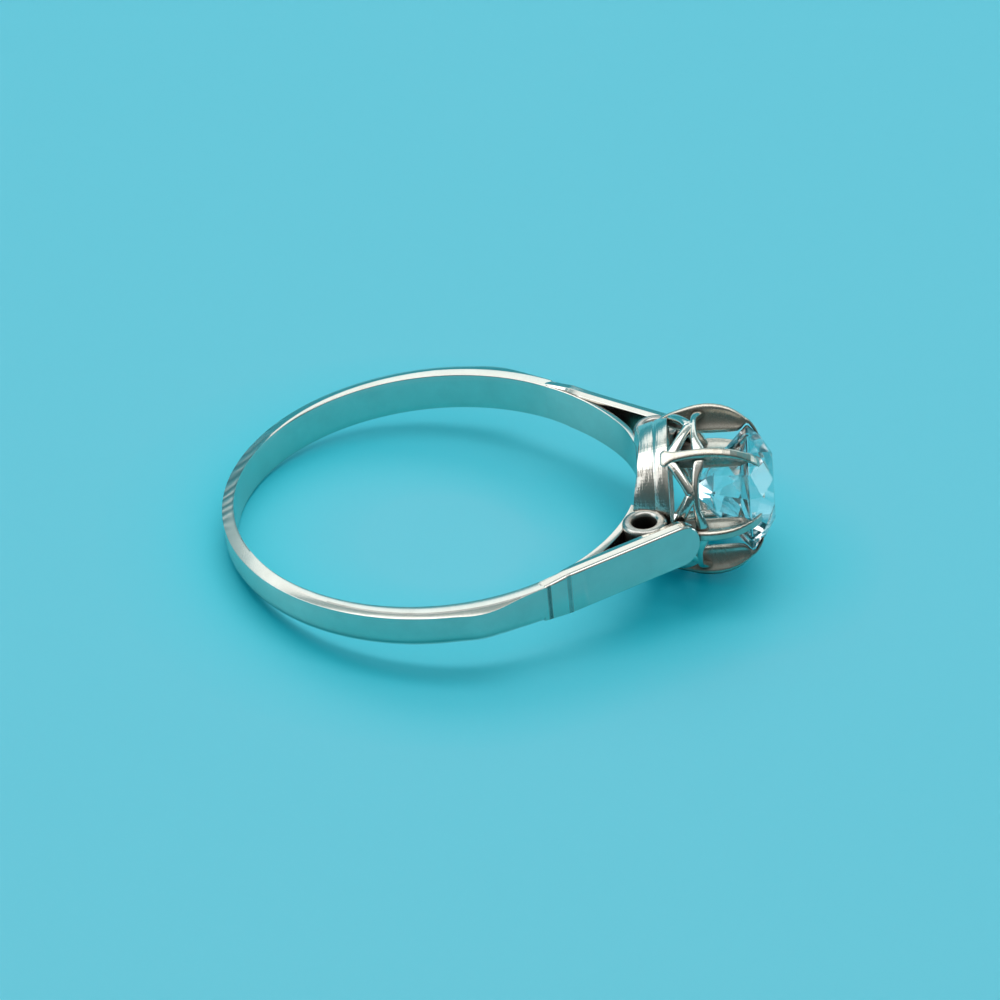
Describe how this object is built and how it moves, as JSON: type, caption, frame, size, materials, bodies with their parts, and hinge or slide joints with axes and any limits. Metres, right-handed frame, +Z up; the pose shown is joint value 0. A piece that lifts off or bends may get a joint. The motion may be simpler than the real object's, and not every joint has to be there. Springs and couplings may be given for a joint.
{
  "type": "solitaire engagement ring",
  "caption": "white metal ring lying on its side: slim band, flat tapering shoulders with short tubes, and a pierced claw setting holding a round brilliant",
  "frame": {"origin": "on the resting surface, under the middle of the ring's bounding box", "axes": "X runs from the back of the band to the stone, Y across the finger hole, Z up from the surface the ring lies on"},
  "size_m": [0.0235, 0.0188, 0.0068],
  "materials": {
    "white_metal": "white gold or platinum, old high polish with fine wear scratches",
    "clear_stone": "colourless diamond, facet polished"
  },
  "bodies": {
    "root": {"mounting": "white_metal", "diamond": "clear_stone"}
  },
  "joints": []
}
